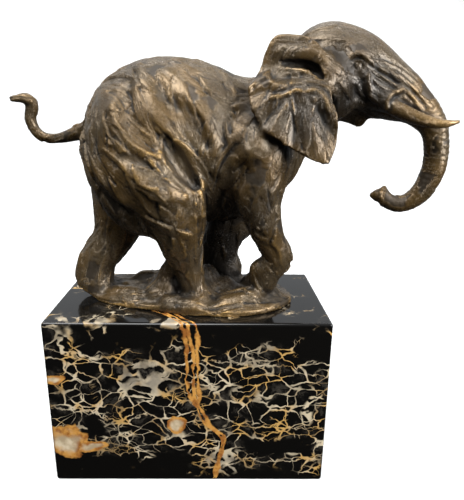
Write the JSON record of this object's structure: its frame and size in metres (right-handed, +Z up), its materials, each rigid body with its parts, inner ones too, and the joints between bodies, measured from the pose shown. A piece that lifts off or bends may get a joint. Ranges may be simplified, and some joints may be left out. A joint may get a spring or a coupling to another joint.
{
  "type": "bronze elephant sculpture",
  "caption": "Cast bronze elephant in mid-stride with curled trunk and raised tail, on its rough bronze ground and a polished block of black and gold marble.",
  "frame": {"origin": "centre of the marble block's underside", "axes": "+X the way the elephant walks, +Y to the elephant's left, +Z up"},
  "size_m": [0.2797, 0.0979, 0.2929],
  "materials": {
    "bronze": "dark brown patinated cast bronze, rubbed golden on the ridges and waxed",
    "marble": "polished black marble with cream and gold veins"
  },
  "bodies": {
    "root": {"bronze_elephant": "bronze", "marble_plinth": "marble"}
  },
  "joints": []
}
